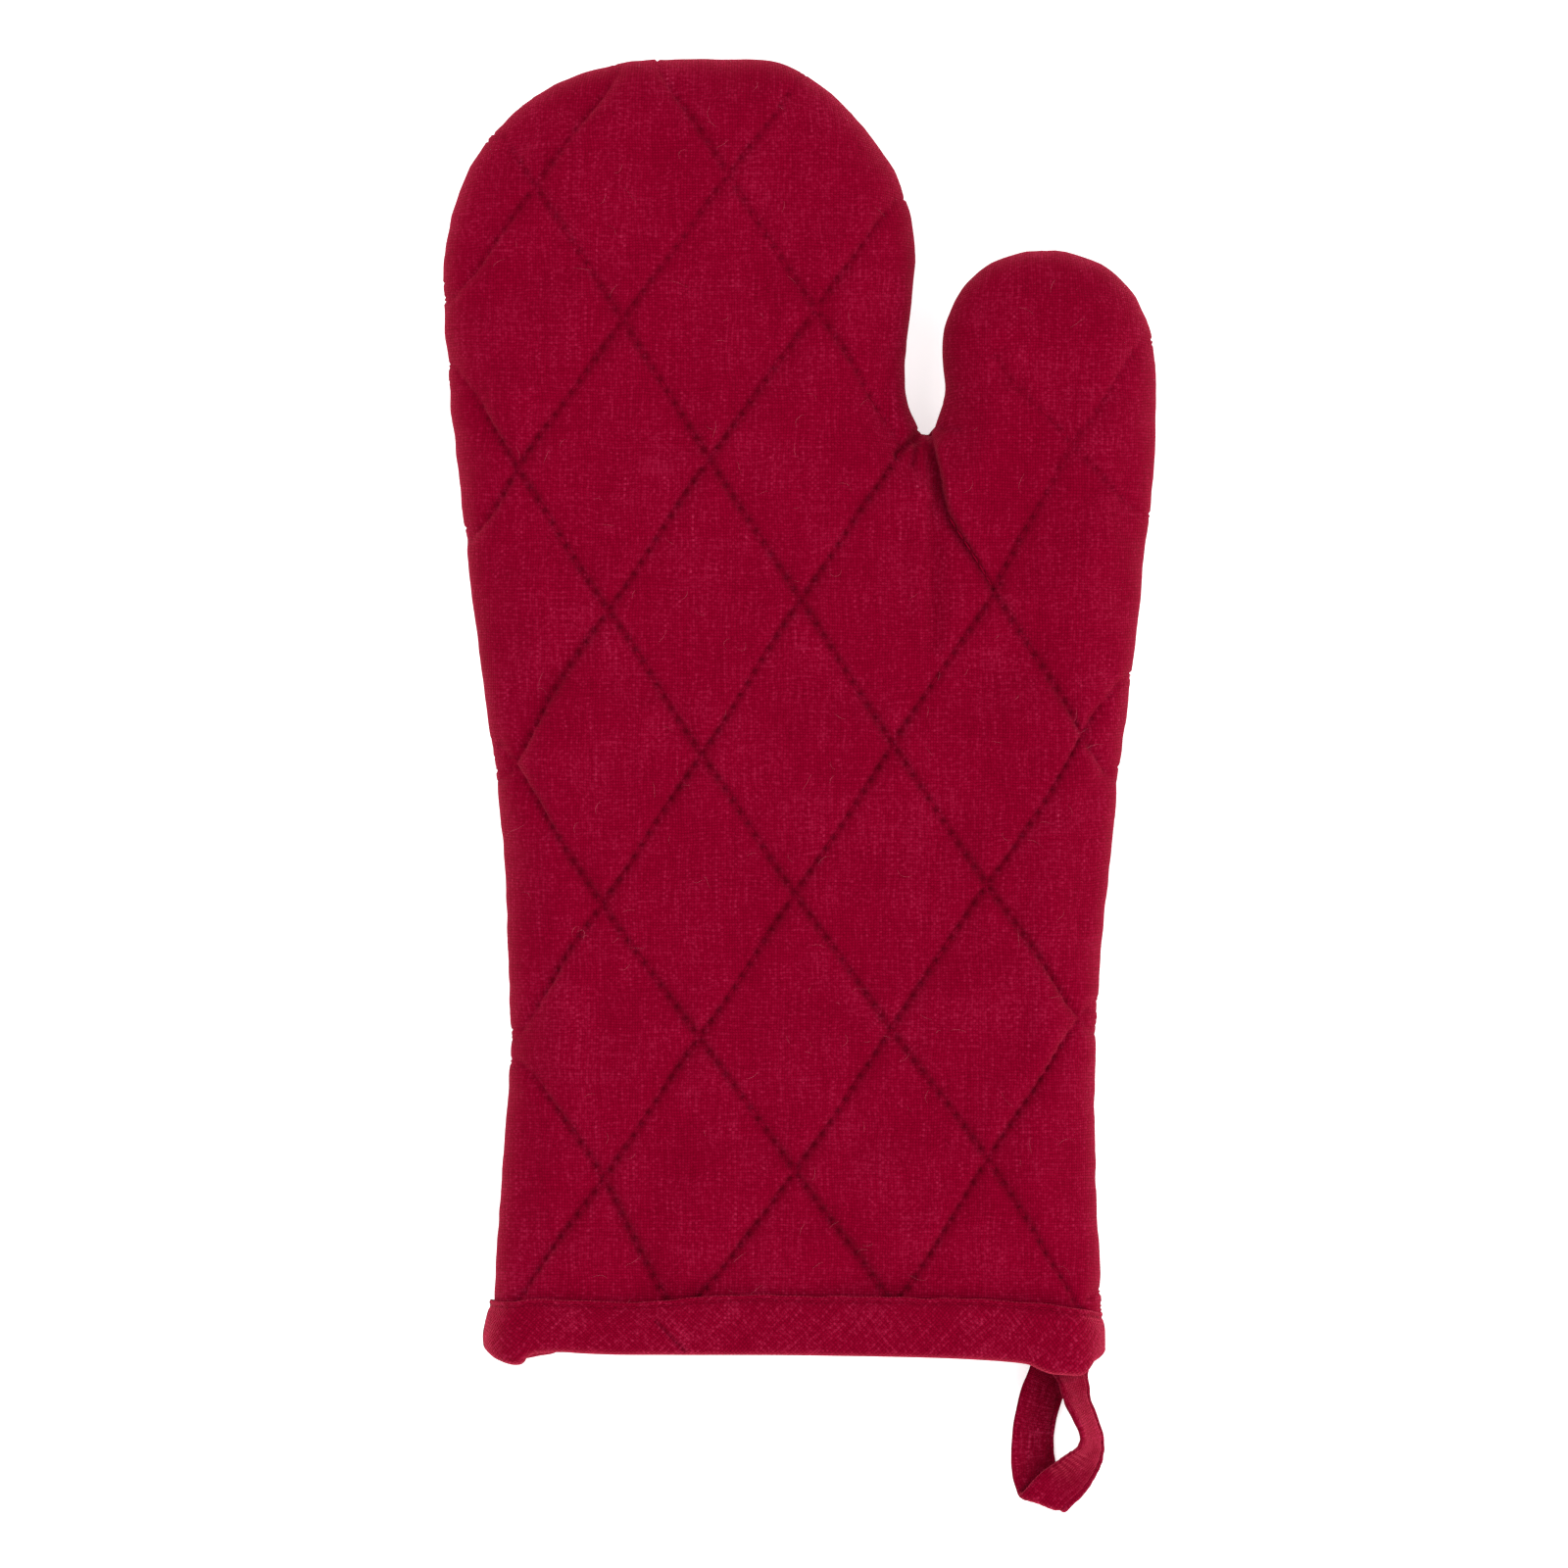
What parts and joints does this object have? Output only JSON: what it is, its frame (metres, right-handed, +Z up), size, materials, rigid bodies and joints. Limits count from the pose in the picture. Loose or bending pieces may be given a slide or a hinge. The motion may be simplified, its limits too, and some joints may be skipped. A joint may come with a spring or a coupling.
{
  "type": "oven mitt",
  "caption": "Flat two-panel quilted oven mitt for one hand, with a padded thumb, a bound cuff and a folded tape loop that swings for hanging.",
  "frame": {"origin": "on the table under the middle of the whole mitt, loop included, lying palm down", "axes": "+Y from the cuff to the fingertips, +X towards the thumb, +Z up out of the back of the mitt"},
  "size_m": [0.1808, 0.3692, 0.0282],
  "materials": {
    "shell_cloth": "plain-weave cotton, matt with a soft sheen",
    "batting": "lofty needled wadding",
    "lining_cloth": "plain-weave cotton, matt",
    "binding_tape": "bias-cut plain-weave cotton, matt",
    "loop_tape": "folded plain-weave cotton, matt",
    "thread": "spun polyester thread"
  },
  "bodies": {
    "mitt": {"back_shell": "shell_cloth", "back_batting": "batting", "back_lining": "lining_cloth", "back_quilting_thread": "thread", "back_bobbin_thread": "thread", "palm_shell": "shell_cloth", "palm_batting": "batting", "palm_lining": "lining_cloth", "palm_quilting_thread": "thread", "palm_bobbin_thread": "thread", "side_seam_thread": "thread", "cuff_binding": "binding_tape", "binding_thread": "thread", "loop_tails": "loop_tape"},
    "loop": {"hanging_loop": "loop_tape", "loop_edge_thread": "thread"}
  },
  "joints": [
    {"name": "loop_swing", "type": "hinge", "parent": "mitt", "child": "loop", "pos_m": [0.06565, -0.14937, 0.007], "axis": [1, 0, 0], "range_deg": [-60, 80]}
  ]
}
